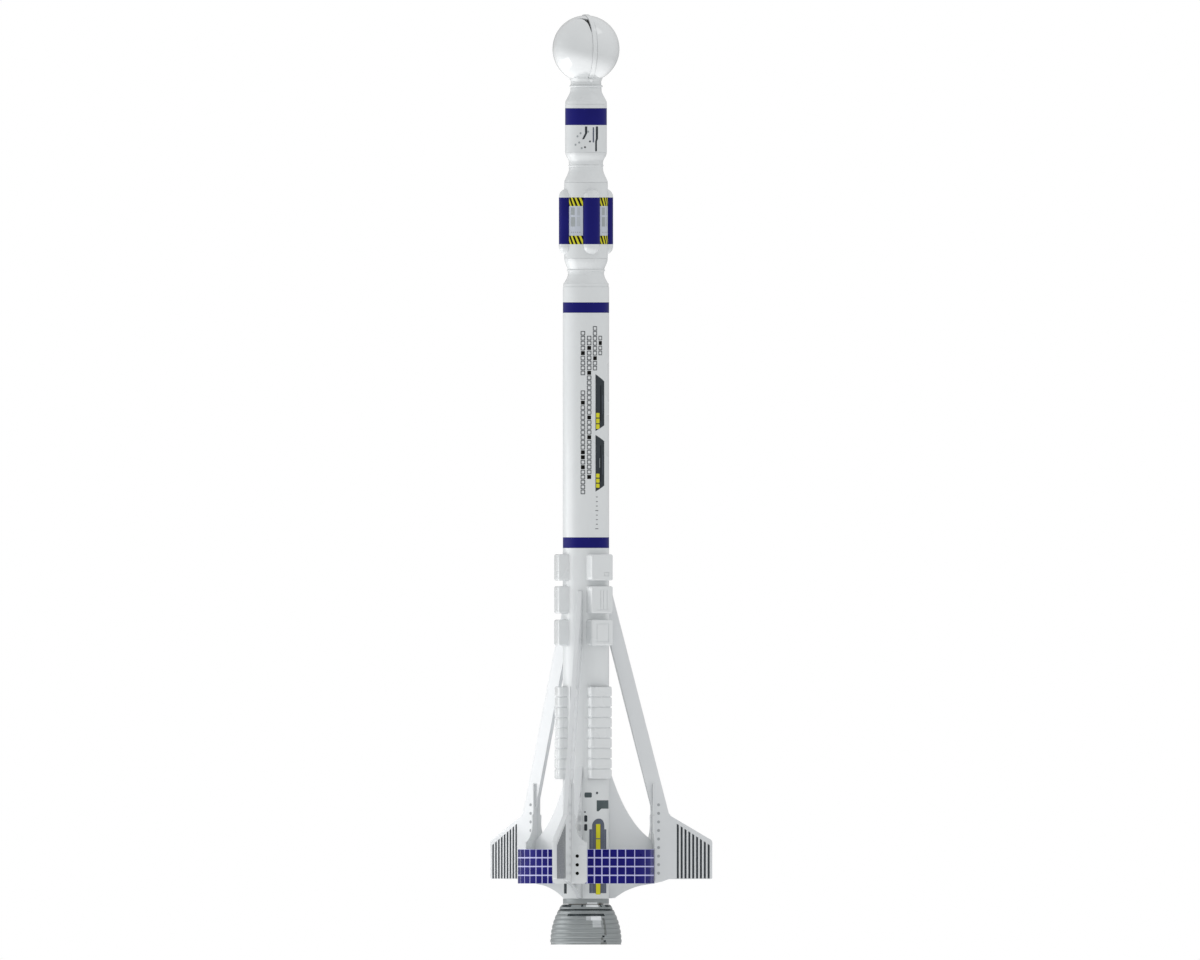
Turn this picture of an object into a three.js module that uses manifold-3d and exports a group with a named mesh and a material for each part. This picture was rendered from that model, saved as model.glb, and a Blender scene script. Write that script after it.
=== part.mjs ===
// Model rocket with a sphere-tipped nose, three strut fins, a ring of curved solar panels and a
// ribbed nozzle.
// Millimetres, +Z up. The origin is the centre of the circle that the nozzle's rim stands on.
// Fin 1 points along +X and the other two follow at 120 degrees.

import * as THREE from 'three';
import { mergeVertices } from 'three/addons/utils/BufferGeometryUtils.js';
import Module from 'manifold-3d';

const wasm = await Module();
wasm.setup();

// Driving dimensions

const GAP = 0.3; // glue line or running clearance between neighbouring pieces
const PAPER = 0.6; // wall of a spiral-wound paper tube
const PLASTIC = 1.2; // wall of a moulded part
const ROUND = 24; // flats around a turned piece

const TUBE = { radius: 16.85, bottom: 33.4, top: 478.7 };
const UPPER_TUBE = { radius: 15.2, bottom: 576.5, top: 611.6 };
const MIDDLE_TUBE = { radius: 15.9, bottom: 499.3, top: 554.6 };
const SPHERE = { radius: 24.4, centre: 651.9, neckHeight: 630.7 };
const BAND = { width: 3.2, outer: 25.1, inner: 23.2 };

// Sides of the three transitions between their tubes, as [radius, height] from the top down
const NECK_SIDE = [
  [11.1, 628.2], [11.1, 626.2], [12.2, 625.2], [12.2, 624.2], [11.3, 623.2], [11.6, 620.4],
  [13.2, 617.0], [14.9, 613.8],
];
const UPPER_WAIST_SIDE = [
  [14.6, 574.2], [13.0, 571.4], [12.5, 569.9], [12.4, 568.0], [12.75, 567.4], [12.75, 566.4],
  [12.4, 565.8], [12.6, 563.2], [13.7, 560.0], [15.4, 556.4],
];
const LOWER_WAIST_SIDE = [
  [15.4, 496.8], [14.1, 493.6], [13.6, 492.0], [13.9, 491.2], [13.9, 490.2], [13.2, 489.2],
  [13.2, 487.6], [14.1, 484.8], [15.7, 481.8], [16.4, 481.2],
];
const SPIGOT = { depth: 10, shoulderBottom: 452 };
const EYELET = { outer: 5, hole: 2.6, thickness: 2.4 };
const WEIGHT = { radius: 11.5, bottom: 588, top: 598 };

const POD = { count: 4, radius: 6.2, centre: 14.1, bottom: 501.6, top: 550.6 };

const FIN = { count: 3, thickness: 3.2, tip: 95.2, joint: 50.2 };
const PANEL = { outer: 49.6, thickness: 0.8, bottom: 44.4, height: 25.0 };
const GUSSET = { outer: 50.7, thickness: 0.8, halfWidth: 12.9 };

const COLUMNS = { angles: [50, 174, 288], face: 22.1, halfWidth: 9.2 };
const BLOCK_ROWS = [
  { bottom: 264.9, height: 19.2 },
  { bottom: 241.0, height: 19.9 },
  { bottom: 217.6, height: 18.9 },
];
const HOUSING = { bottom: 120.4, height: 67.4, ribs: 9, groove: 0.8 };

const BELL = { height: 29.3, throat: 16.6, mouth: 26.0, ridges: 9, ridge: 0.7, wall: 2.0, power: 2.3 };
const COLLAR = { radius: 16.75, bore: 13.2, spigot: 16.6 };

const MOTOR_TUBE = { radius: 12.6, wall: 0.45, bottom: 26, length: 95 };
const MOTOR = { radius: 11.85, bottom: 20, length: 70, casing: 2.6 };
const RING_POSITIONS = { rear: 53, front: 112 };

const LUG = { radius: 3.2, bore: 2.4, length: 34, offset: 30.5, angle: 95 };
const LUG_BOTTOMS = { lower: 78, upper: 338 };

const tubeBore = TUBE.radius - PAPER;
const tubeSurface = TUBE.radius + GAP;

// Materials

function finish(colour, roughness, metalness = 0) {
  return new THREE.MeshStandardMaterial({ color: colour, roughness, metalness });
}

const whitePaint = finish(0xe6e8ea, 0.3);
const whitePlastic = finish(0xeceef0, 0.22);
const solarBlue = finish(0x1b1b6e, 0.25);
const silver = finish(0x9a9f9f, 0.25, 0.9);
const kraftPaper = finish(0xb08a5e, 0.85);
const greyCard = finish(0x9c958a, 0.9);
const blackPowder = finish(0x2c2a29, 0.95);
const paleClay = finish(0xc9bca6, 0.9);
const orangeSheet = finish(0xd8571d, 0.6);

// Geometry helpers

function radians(degrees) {
  return THREE.MathUtils.degToRad(degrees);
}

function volumeOf(geometry) {
  const corner = geometry.attributes.position;
  const [a, b, c] = [new THREE.Vector3(), new THREE.Vector3(), new THREE.Vector3()];
  let volume = 0;
  for (let i = 0; i < geometry.index.count; i += 3) {
    a.fromBufferAttribute(corner, geometry.index.getX(i));
    b.fromBufferAttribute(corner, geometry.index.getX(i + 1));
    c.fromBufferAttribute(corner, geometry.index.getX(i + 2));
    volume += a.dot(b.cross(c)) / 6;
  }
  return volume;
}

// One closed body: shared corners merged, empty triangles dropped, faces turned outwards.
function closed(source) {
  const bare = source.index ? source : source.clone();
  bare.deleteAttribute('normal');
  bare.deleteAttribute('uv');
  const geometry = mergeVertices(bare, 1e-4);
  const kept = [];
  for (let i = 0; i < geometry.index.count; i += 3) {
    const corners = [0, 1, 2].map((k) => geometry.index.getX(i + k));
    if (new Set(corners).size === 3) {
      kept.push(...corners);
    }
  }
  geometry.setIndex(kept);
  if (volumeOf(geometry) < 0) {
    for (let i = 0; i < kept.length; i += 3) {
      [kept[i + 1], kept[i + 2]] = [kept[i + 2], kept[i + 1]];
    }
    geometry.setIndex(kept);
  }
  return geometry;
}

function toSolid(geometry) {
  return new wasm.Manifold(
    new wasm.Mesh({
      numProp: 3,
      vertProperties: new Float32Array(geometry.attributes.position.array),
      triVerts: new Uint32Array(geometry.index.array),
    }),
  );
}

function fromSolid(solid) {
  const mesh = solid.getMesh();
  const geometry = new THREE.BufferGeometry();
  geometry.setAttribute('position', new THREE.BufferAttribute(mesh.vertProperties, 3));
  geometry.setIndex(new THREE.BufferAttribute(mesh.triVerts, 1));
  return closed(geometry);
}

function cut(geometry, ...cutters) {
  return fromSolid(cutters.reduce((solid, cutter) => solid.subtract(toSolid(cutter)), toSolid(geometry)));
}

function common(first, second) {
  return fromSolid(toSolid(first).intersect(toSolid(second)));
}

// A closed outline of [radius, height] points turned about the Z axis.
function turned(outline, flats = ROUND) {
  const points = [...outline, outline[0]].map(([radius, height]) => new THREE.Vector2(radius, height));
  return closed(new THREE.LatheGeometry(points, flats).rotateX(Math.PI / 2));
}

function pipe(outer, inner, bottom, top, flats = ROUND) {
  return turned([[inner, bottom], [outer, bottom], [outer, top], [inner, top]], flats);
}

function rod(radius, bottom, top, flats = ROUND) {
  return closed(new THREE.CylinderGeometry(radius, radius, top - bottom, flats)
    .rotateX(Math.PI / 2)
    .translate(0, 0, (top + bottom) / 2));
}

function box(low, high) {
  const size = high.map((value, axis) => value - low[axis]);
  const middle = high.map((value, axis) => (value + low[axis]) / 2);
  return closed(new THREE.BoxGeometry(...size).translate(...middle));
}

// A plan shape raised from the bottom height.
function raised(shape, bottom, height, curveSegments = 8) {
  const settings = { depth: height, bevelEnabled: false, curveSegments };
  return closed(new THREE.ExtrudeGeometry(shape, settings).translate(0, 0, bottom));
}

// A side shape in radius and height, standing in the XZ plane with its thickness along Y.
function upright(shape, thickness, curveSegments = 8) {
  const settings = { depth: thickness, bevelEnabled: false, curveSegments };
  return closed(new THREE.ExtrudeGeometry(shape, settings)
    .translate(0, 0, -thickness / 2)
    .rotateX(Math.PI / 2));
}

function polygon(corners) {
  return new THREE.Shape(corners.map(([x, y]) => new THREE.Vector2(x, y)));
}

// Points of an arc given by centre, radius and end angles in degrees.
function arcPoints(x, y, radius, from, to, steps) {
  const points = [];
  for (let i = 0; i <= steps; i += 1) {
    const angle = radians(from + ((to - from) * i) / steps);
    points.push([x + radius * Math.cos(angle), y + radius * Math.sin(angle)]);
  }
  return points;
}

function part(group, name, geometry, material) {
  const mesh = new THREE.Mesh(geometry, material);
  mesh.name = name;
  group.add(mesh);
  return mesh;
}

function turnedGroup(degrees) {
  const group = new THREE.Group();
  group.rotation.z = radians(degrees);
  return group;
}

const rocket = new THREE.Group();

// Nose sphere: two half shells on a raised band that stands in the YZ plane

function noseSphere() {
  const { radius, centre, neckHeight } = SPHERE;
  const reach = 2 * radius;
  const shell = turned([
    ...arcPoints(0, centre, radius, -65, 90, 10),
    ...arcPoints(0, centre, radius - PLASTIC, 90, -65, 10),
  ]);
  const seam = BAND.width / 2 + GAP;
  const aboveNeck = (low, high) => box([low, -reach, neckHeight], [high, reach, centre + reach]);
  part(rocket, 'nose_sphere_right', common(shell, aboveNeck(seam, reach)), whitePlastic);
  part(rocket, 'nose_sphere_left', common(shell, aboveNeck(-reach, -seam)), whitePlastic);

  const hoop = pipe(BAND.outer, BAND.inner, -BAND.width / 2, BAND.width / 2)
    .rotateY(Math.PI / 2)
    .translate(0, 0, centre);
  part(rocket, 'nose_seam_band', common(hoop, aboveNeck(-reach, reach)), whitePlastic);
}

// Transitions: a turned skirt between two tube ends, with a spigot glued into each tube

function transitions() {
  const { depth, shoulderBottom } = SPIGOT;
  const upperSpigot = UPPER_TUBE.radius - PAPER - GAP;
  const middleSpigot = MIDDLE_TUBE.radius - PAPER - GAP;
  const shoulder = tubeBore - 0.35;

  const neckBore = 9.8;
  const neckTop = SPHERE.neckHeight - GAP;
  part(rocket, 'nose_neck', turned([
    [12.1, neckTop], ...NECK_SIDE,
    [UPPER_TUBE.radius, UPPER_TUBE.top + GAP], [upperSpigot, UPPER_TUBE.top + GAP],
    [upperSpigot, UPPER_TUBE.top - depth], [upperSpigot - PLASTIC, UPPER_TUBE.top - depth],
    [upperSpigot - PLASTIC, UPPER_TUBE.top], [neckBore, 620], [neckBore, neckTop],
  ]), whitePlastic);

  const upperBore = 11;
  part(rocket, 'upper_transition', turned([
    [upperSpigot, UPPER_TUBE.bottom + depth], [upperSpigot, UPPER_TUBE.bottom - GAP],
    [UPPER_TUBE.radius, UPPER_TUBE.bottom - GAP], ...UPPER_WAIST_SIDE,
    [MIDDLE_TUBE.radius, MIDDLE_TUBE.top + GAP], [middleSpigot, MIDDLE_TUBE.top + GAP],
    [middleSpigot, MIDDLE_TUBE.top - depth], [middleSpigot - PLASTIC, MIDDLE_TUBE.top - depth],
    [middleSpigot - PLASTIC, MIDDLE_TUBE.top], [upperBore, 563], [upperBore, 571],
    [upperSpigot - PLASTIC, UPPER_TUBE.bottom], [upperSpigot - PLASTIC, UPPER_TUBE.bottom + depth],
  ]), whitePlastic);

  const lowerBore = 12;
  const floor = shoulderBottom + 2 * PLASTIC;
  part(rocket, 'lower_transition', turned([
    [middleSpigot, MIDDLE_TUBE.bottom + depth], [middleSpigot, MIDDLE_TUBE.bottom - GAP],
    [MIDDLE_TUBE.radius, MIDDLE_TUBE.bottom - GAP], ...LOWER_WAIST_SIDE,
    [16.4, TUBE.top + GAP], [shoulder, TUBE.top + GAP], [shoulder, shoulderBottom],
    [0, shoulderBottom], [0, floor], [shoulder - PLASTIC, floor], [shoulder - PLASTIC, 481],
    [lowerBore, 486], [lowerBore, 493], [middleSpigot - PLASTIC, MIDDLE_TUBE.bottom],
    [middleSpigot - PLASTIC, MIDDLE_TUBE.bottom + depth],
  ]), whitePlastic);

  const { outer, hole, thickness } = EYELET;
  const eyeletTop = shoulderBottom - GAP;
  const eyelet = new THREE.Shape();
  eyelet.moveTo(outer, eyeletTop);
  eyelet.lineTo(-outer, eyeletTop);
  eyelet.absarc(0, eyeletTop - outer, outer, Math.PI, 2 * Math.PI, false);
  eyelet.holes.push(new THREE.Path().absarc(0, eyeletTop - outer, hole, 0, 2 * Math.PI, true));
  part(rocket, 'nose_eyelet', upright(eyelet, thickness, 6), whitePlastic);
}

function noseTubes() {
  const tubes = { upper_tube: UPPER_TUBE, middle_tube: MIDDLE_TUBE };
  for (const [name, { radius, bottom, top }] of Object.entries(tubes)) {
    part(rocket, name, pipe(radius, radius - PAPER, bottom, top), whitePaint);
  }
  part(rocket, 'nose_weight', rod(WEIGHT.radius, WEIGHT.bottom, WEIGHT.top), greyCard);
}

// Pods: capsules cut to sit on the middle tube

function pods() {
  const seat = rod(MIDDLE_TUBE.radius + GAP, POD.bottom - 5, POD.top + 5);
  const straight = POD.top - POD.bottom - 2 * POD.radius;
  for (let i = 0; i < POD.count; i += 1) {
    const capsule = closed(new THREE.CapsuleGeometry(POD.radius, straight, 4, 14)
      .rotateX(Math.PI / 2)
      .translate(POD.centre, 0, (POD.top + POD.bottom) / 2));
    const group = turnedGroup((360 / POD.count) * i);
    part(group, `pod_${i + 1}`, cut(capsule, seat), whitePlastic);
    rocket.add(group);
  }
}

// Equipment blocks and ribbed housings: flat faced boxes whose backs follow the main tube

function columnSection() {
  const { face, halfWidth } = COLUMNS;
  const corner = 1.6;
  const seat = Math.asin(halfWidth / tubeSurface);
  const shape = new THREE.Shape();
  shape.moveTo(tubeSurface * Math.cos(seat), halfWidth);
  shape.absarc(0, 0, tubeSurface, seat, -seat, true);
  shape.absarc(face - corner, corner - halfWidth, corner, -Math.PI / 2, 0, false);
  shape.absarc(face - corner, halfWidth - corner, corner, 0, Math.PI / 2, false);
  return shape;
}

function columns() {
  const section = columnSection();
  const pitch = HOUSING.height / HOUSING.ribs;
  const grooves = [];
  for (let i = 1; i < HOUSING.ribs; i += 1) {
    const height = HOUSING.bottom + pitch * i;
    const inner = COLUMNS.face - HOUSING.groove;
    const reach = COLUMNS.halfWidth + 1;
    grooves.push(box([inner, -reach, height - 0.5], [COLUMNS.face + 1, reach, height + 0.5]));
  }
  const housing = cut(raised(section, HOUSING.bottom, HOUSING.height, 4), ...grooves);

  COLUMNS.angles.forEach((angle, column) => {
    const group = turnedGroup(angle);
    BLOCK_ROWS.forEach(({ bottom, height }, row) => {
      part(group, `block_${column + 1}_${'abc'[row]}`, raised(section, bottom, height, 4), whitePlastic);
    });
    part(group, `ribbed_housing_${column + 1}`, housing.clone(), whitePlastic);
    rocket.add(group);
  });
}

// Fins: a root panel glued to the main tube, a long slanted strut and an outer wing

const STRUT = {
  top: 257.4,
  innerHeight: (reach) => 216.2 - (reach - 18.6) / 0.2686,
  outerReach: (height) => 28.75 + 0.273 * (222 - height),
};
const WING = { shoulder: [62.6, 94.3], innerTop: [50.3, 98.1], tipTop: 75.7, tipBottom: 47.6 };

function finStrut() {
  const [innerX, innerZ] = WING.innerTop;
  const [outerX, outerZ] = WING.shoulder;
  return polygon([
    [tubeSurface, STRUT.top], [STRUT.outerReach(STRUT.top), STRUT.top], [outerX, outerZ + GAP],
    [innerX, innerZ + GAP], [tubeSurface, STRUT.innerHeight(tubeSurface)],
  ]);
}

function finWing() {
  const { shoulder, innerTop, tipTop, tipBottom } = WING;
  return polygon([
    innerTop, [FIN.joint + GAP, PANEL.bottom], [57.6, 45.9], [62.1, tipBottom], [FIN.tip, tipBottom],
    [FIN.tip, tipTop], shoulder,
  ]);
}

function finRootPanel() {
  const shape = new THREE.Shape();
  shape.moveTo(tubeSurface, 129.9);
  shape.quadraticCurveTo(29.5, 88.2, FIN.joint, 75.6);
  shape.lineTo(FIN.joint, PANEL.bottom - 0.1);
  shape.lineTo(40.9, 42.9);
  shape.quadraticCurveTo(29, 40, 21.5, 33.8);
  shape.lineTo(tubeSurface, 33.5);
  return shape;
}

// Half of a gusset plate, seen from outside: from the fin's side outwards, with a batten up the strut.
function gussetOutline() {
  const inner = FIN.thickness / 2 + GAP;
  const outer = GUSSET.halfWidth;
  const corner = 2;
  const battenEdge = 3.6;
  const battenTop = 117.2;
  const bottom = PANEL.bottom;
  const shape = new THREE.Shape();
  shape.moveTo(inner, bottom);
  shape.lineTo(outer - corner, bottom);
  shape.absarc(outer - corner, bottom + corner, corner, -Math.PI / 2, 0, false);
  shape.lineTo(outer, 74.3);
  shape.quadraticCurveTo(5.0, 77.6, 4.5, 88);
  shape.lineTo(4.8, 93.9);
  shape.lineTo(battenEdge, 94.4);
  shape.lineTo(battenEdge, battenTop);
  shape.lineTo(inner, battenTop);
  return shape;
}

function gussetPlate() {
  const ring = pipe(GUSSET.outer, GUSSET.outer - GUSSET.thickness, 40, 120, 96);
  const settings = { depth: 20, bevelEnabled: false, curveSegments: 5 };
  const outline = closed(new THREE.ExtrudeGeometry(gussetOutline(), settings));
  outline.applyMatrix4(new THREE.Matrix4().makeBasis(
    new THREE.Vector3(0, 1, 0),
    new THREE.Vector3(0, 0, 1),
    new THREE.Vector3(1, 0, 0),
  ));
  outline.translate(40, 0, 0);
  return common(ring, outline);
}

function fins() {
  const plate = gussetPlate();
  const mirrored = closed(plate.clone().scale(1, -1, 1));
  for (let i = 0; i < FIN.count; i += 1) {
    const fin = turnedGroup((360 / FIN.count) * i);
    const name = `fin_${i + 1}`;
    part(fin, `${name}_root_panel`, upright(finRootPanel(), FIN.thickness), whitePaint);
    part(fin, `${name}_strut`, upright(finStrut(), FIN.thickness), whitePaint);
    part(fin, `${name}_wing`, upright(finWing(), FIN.thickness), whitePaint);
    part(fin, `${name}_gusset_left`, plate.clone(), whitePlastic);
    part(fin, `${name}_gusset_right`, mirrored.clone(), whitePlastic);
    rocket.add(fin);
  }
}

// Solar ring: three curved panels between the fins

function solarPanels() {
  const inner = PANEL.outer - PANEL.thickness;
  const clear = Math.asin((FIN.thickness / 2 + GAP) / inner);
  const end = radians(360 / FIN.count) - clear;
  const shape = new THREE.Shape();
  shape.absarc(0, 0, PANEL.outer, clear, end, false);
  shape.absarc(0, 0, inner, end, clear, true);
  for (let i = 0; i < FIN.count; i += 1) {
    const group = turnedGroup((360 / FIN.count) * i);
    part(group, `solar_panel_${i + 1}`, raised(shape, PANEL.bottom, PANEL.height, 24), solarBlue);
    rocket.add(group);
  }
}

// Nozzle: a collar with a spigot in the main tube, and a flared bell with ridges around it

function bellRadius(height) {
  return BELL.mouth - (BELL.mouth - BELL.throat) * (height / BELL.height) ** BELL.power;
}

function nozzle() {
  const collarBottom = BELL.height + GAP;
  const spigotRadius = tubeBore - GAP;
  part(rocket, 'nozzle_collar', turned([
    [COLLAR.bore, collarBottom], [COLLAR.radius, collarBottom], [COLLAR.radius, TUBE.bottom - GAP],
    [spigotRadius, TUBE.bottom - GAP], [spigotRadius, TUBE.bottom + COLLAR.spigot],
    [spigotRadius - PLASTIC, TUBE.bottom + COLLAR.spigot], [spigotRadius - PLASTIC, TUBE.bottom],
    [COLLAR.bore, TUBE.bottom - GAP],
  ]), silver);

  const outside = [];
  const pitch = BELL.height / BELL.ridges;
  for (let i = 0; i < BELL.ridges; i += 1) {
    const height = pitch * i;
    outside.push([bellRadius(height), height]);
    outside.push([bellRadius(height + 0.8 * pitch) - BELL.ridge, height + 0.8 * pitch]);
  }
  const inside = [];
  const innerSteps = 4;
  for (let i = innerSteps; i >= 0; i -= 1) {
    const height = (BELL.height * i) / innerSteps;
    inside.push([bellRadius(height) - BELL.wall, height]);
  }
  part(rocket, 'nozzle_bell', turned([...outside, [BELL.throat, BELL.height], ...inside]), silver);
}

// Motor mount and the motor that slides into it

function motorMount() {
  const { radius, wall, bottom, length } = MOTOR_TUBE;
  part(rocket, 'motor_tube', pipe(radius, radius - wall, bottom, bottom + length), kraftPaper);
  const ringInner = radius + GAP;
  const ringOuter = tubeBore - GAP;
  const { rear, front } = RING_POSITIONS;
  part(rocket, 'rear_centring_ring', pipe(ringOuter, ringInner, rear, rear + 3), greyCard);
  part(rocket, 'front_centring_ring', pipe(ringOuter, ringInner, front, front + 3), greyCard);
  const motorTop = MOTOR.bottom + MOTOR.length;
  part(rocket, 'thrust_ring', pipe(radius - wall - GAP, 8.5, motorTop + GAP, motorTop + 6), greyCard);
}

function motor() {
  const { radius, bottom, length, casing } = MOTOR;
  const bore = radius - casing;
  part(rocket, 'motor_casing', pipe(radius, bore, bottom, bottom + length), kraftPaper);
  part(rocket, 'motor_nozzle', turned([
    [5.6, bottom + 1], [bore - GAP, bottom + 1], [bore - GAP, bottom + 9], [2.2, bottom + 9], [2.2, bottom + 6],
  ]), paleClay);
  part(rocket, 'motor_grain', rod(bore - GAP, bottom + 9 + GAP, bottom + length - 4), blackPowder);
}

// Recovery gear packed in the main tube

function packedRoll(name, radius, bottom, top, material) {
  const soft = 4;
  part(rocket, name, turned([
    ...arcPoints(radius - soft, bottom + soft, soft, -90, 0, 3),
    ...arcPoints(radius - soft, top - soft, soft, 0, 90, 3),
    [0, top], [0, bottom],
  ], 20), material);
}

// Launch lugs: short tubes on standoffs, far enough out for the launch rod to pass the nozzle bell

function launchLugs() {
  const group = turnedGroup(LUG.angle);
  for (const [place, bottom] of Object.entries(LUG_BOTTOMS)) {
    const lug = pipe(LUG.radius, LUG.bore, bottom, bottom + LUG.length, 16).translate(LUG.offset, 0, 0);
    part(group, `launch_lug_${place}`, lug, whitePaint);
    const edge = LUG.offset - LUG.radius - GAP;
    const standoff = polygon([
      [tubeSurface, bottom - 6], [edge, bottom + 2], [edge, bottom + LUG.length - 2],
      [tubeSurface, bottom + LUG.length + 6],
    ]);
    part(group, `lug_standoff_${place}`, upright(standoff, 2.4), whitePaint);
  }
  rocket.add(group);
}

noseSphere();
transitions();
noseTubes();
pods();
part(rocket, 'main_tube', pipe(TUBE.radius, tubeBore, TUBE.bottom, TUBE.top), whitePaint);
columns();
fins();
solarPanels();
nozzle();
motorMount();
motor();
packedRoll('recovery_wadding', 14.8, 296, 324, greyCard);
packedRoll('parachute', 15.0, 330, 402, orangeSheet);
launchLugs();

export default rocket;
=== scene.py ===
import math
import bmesh
import bpy
from mathutils import Matrix, Vector, noise

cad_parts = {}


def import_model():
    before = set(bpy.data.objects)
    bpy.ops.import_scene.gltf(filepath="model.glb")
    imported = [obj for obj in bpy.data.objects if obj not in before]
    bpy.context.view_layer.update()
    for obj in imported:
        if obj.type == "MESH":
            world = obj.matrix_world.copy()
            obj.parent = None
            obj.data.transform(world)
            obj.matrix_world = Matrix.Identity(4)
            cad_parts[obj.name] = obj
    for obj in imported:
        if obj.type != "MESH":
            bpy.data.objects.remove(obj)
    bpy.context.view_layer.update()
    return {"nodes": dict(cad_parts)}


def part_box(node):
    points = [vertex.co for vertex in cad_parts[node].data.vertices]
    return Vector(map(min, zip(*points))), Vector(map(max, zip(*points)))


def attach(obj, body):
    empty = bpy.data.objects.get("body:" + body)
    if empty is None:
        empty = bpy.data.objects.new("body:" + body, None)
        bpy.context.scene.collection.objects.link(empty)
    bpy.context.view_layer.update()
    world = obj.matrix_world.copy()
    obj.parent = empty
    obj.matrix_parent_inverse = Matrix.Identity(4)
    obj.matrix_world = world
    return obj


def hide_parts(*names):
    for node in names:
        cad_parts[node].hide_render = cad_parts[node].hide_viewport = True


# Looks of the model rocket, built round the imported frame. Helpers take millimetres; objects are in metres.

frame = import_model()

MM = 0.001
ROUND = 128  # flats round a turned piece
CREASE = math.radians(35)  # edges that bend more than this stay sharp
VIEW = -16  # the camera's azimuth in degrees; 0 looks along +Y
FACING = math.radians(VIEW - 90)  # the side that faces the camera; the marks on the tubes are centred on it


# Sizes from the frame

def low(node, axis):
    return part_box(node)[0]["xyz".index(axis)] / MM


def high(node, axis):
    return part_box(node)[1]["xyz".index(axis)] / MM


def ends(node):
    """Bottom and top of a node."""
    return low(node, "z"), high(node, "z")


def upright(node):
    """Outer radius, bottom and top of a node that is turned about Z."""
    return high(node, "x"), *ends(node)


TUBE, TUBE_BOTTOM, TUBE_TOP = upright("main_tube")
UPPER, UPPER_BOTTOM, UPPER_TOP = upright("upper_tube")
MIDDLE, MIDDLE_BOTTOM, MIDDLE_TOP = upright("middle_tube")
PAPER = 0.6
PLASTIC = 1.2
SPHERE = high("nose_sphere_right", "x")
BAND = -low("nose_seam_band", "y")
BAND_HALF = high("nose_seam_band", "x")
SPHERE_CENTRE = high("nose_seam_band", "z") - BAND
SPHERE_BOTTOM = low("nose_sphere_right", "z")
FIN_HALF = high("fin_1_wing", "y")
FIN_TIP = high("fin_1_wing", "x")
FIN_BOTTOM = low("fin_1_wing", "z")
RING = max(high("solar_panel_1", "x"), high("solar_panel_1", "y"))
RING_BOTTOM, RING_TOP = ends("solar_panel_1")
BELL_TOP = high("nozzle_bell", "z")
BELL_MOUTH = high("nozzle_bell", "x")
HEIGHT = high("nose_seam_band", "z")


# Outlines

def arc(x, y, radius, start, end, steps):
    """Points of an arc, its angles in degrees."""
    turns = [math.radians(start + (end - start) * k / steps) for k in range(steps + 1)]
    return [(x + radius * math.cos(turn), y + radius * math.sin(turn)) for turn in turns]


def rounded(outline, reach, steps=4):
    """A closed outline with each corner eased over `reach`, or over the corner's own third value."""
    eased = []
    for k, corner in enumerate(outline):
        middle = Vector(corner[:2])
        before = Vector(outline[k - 1][:2]) - middle
        after = Vector(outline[(k + 1) % len(outline)][:2]) - middle
        ease = corner[2] if len(corner) > 2 else reach
        if ease == 0:
            eased.append(tuple(middle))
            continue
        start = middle + before.normalized() * min(ease, before.length * 0.45)
        end = middle + after.normalized() * min(ease, after.length * 0.45)
        for step in range(steps + 1):
            share = step / steps
            eased.append(tuple(start.lerp(middle, share).lerp(middle.lerp(end, share), share)))
    return eased


def flowing(points, steps=5):
    """A smooth open curve through the points."""
    padded = [points[0], *points, points[-1]]
    curve = []
    for a, b, c, d in zip(padded, padded[1:], padded[2:], padded[3:]):
        for step in range(steps):
            t = step / steps
            curve.append(tuple(
                b[n] + 0.5 * t * (c[n] - a[n] + t * (2 * a[n] - 5 * b[n] + 4 * c[n] - d[n]
                                                   + t * (3 * (b[n] - c[n]) + d[n] - a[n])))
                for n in range(2)
            ))
    return curve + [points[-1]]


def bent(start, control, end, steps=10):
    """Points of a quadratic curve, its start left out."""
    a, b, c = Vector(start), Vector(control), Vector(end)
    shares = [step / steps for step in range(1, steps + 1)]
    return [tuple(a.lerp(b, share).lerp(b.lerp(c, share), share)) for share in shares]


def rectangle(left, right, bottom, top):
    return [(left, bottom), (right, bottom), (right, top), (left, top)]


def disc(x, y, radius, steps=18):
    return arc(x, y, radius, 0, 360 - 360 / steps, steps - 1)


def bordered(outer, inner):
    """The strips between two matching outlines."""
    count = len(outer)
    return [[outer[k], outer[(k + 1) % count], inner[(k + 1) % count], inner[k]] for k in range(count)]


def kept_side(outline, limit, side):
    """The part of an outline to the right (side 1) or left (side -1) of an upright line."""
    kept = []
    for (ax, ay), (bx, by) in zip(outline, outline[1:] + outline[:1]):
        if side * (ax - limit) >= 0:
            kept.append((ax, ay))
        if (ax - limit) * (bx - limit) < 0:
            kept.append((limit, ay + (by - ay) * (limit - ax) / (bx - ax)))
    return kept


# Meshes

def loft(loops):
    """Matching loops of points joined in order and closed with a cap at each end."""
    bm = bmesh.new()
    rows = [[bm.verts.new(point) for point in loop] for loop in loops]
    for first, second in zip(rows, rows[1:]):
        for k in range(len(first)):
            after = (k + 1) % len(first)
            bm.faces.new((first[k], first[after], second[after], second[k]))
    bm.faces.new(rows[0])
    bm.faces.new(rows[-1])
    return bm


def turned(outline, flats=ROUND):
    """A closed outline of (radius, height) points turned about Z."""
    bm = bmesh.new()
    rows = []
    for radius, height in outline:
        count = flats if radius > 1e-6 else 1
        turns = [2 * math.pi * k / flats for k in range(count)]
        rows.append([bm.verts.new((radius * math.cos(t), radius * math.sin(t), height)) for t in turns])
    for first, second in zip(rows, rows[1:] + rows[:1]):
        for k in range(flats):
            after = (k + 1) % flats
            corners = list(dict.fromkeys([first[k % len(first)], first[after % len(first)],
                                          second[after % len(second)], second[k % len(second)]]))
            if len(corners) > 2:
                bm.faces.new(corners)
    return bm


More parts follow.
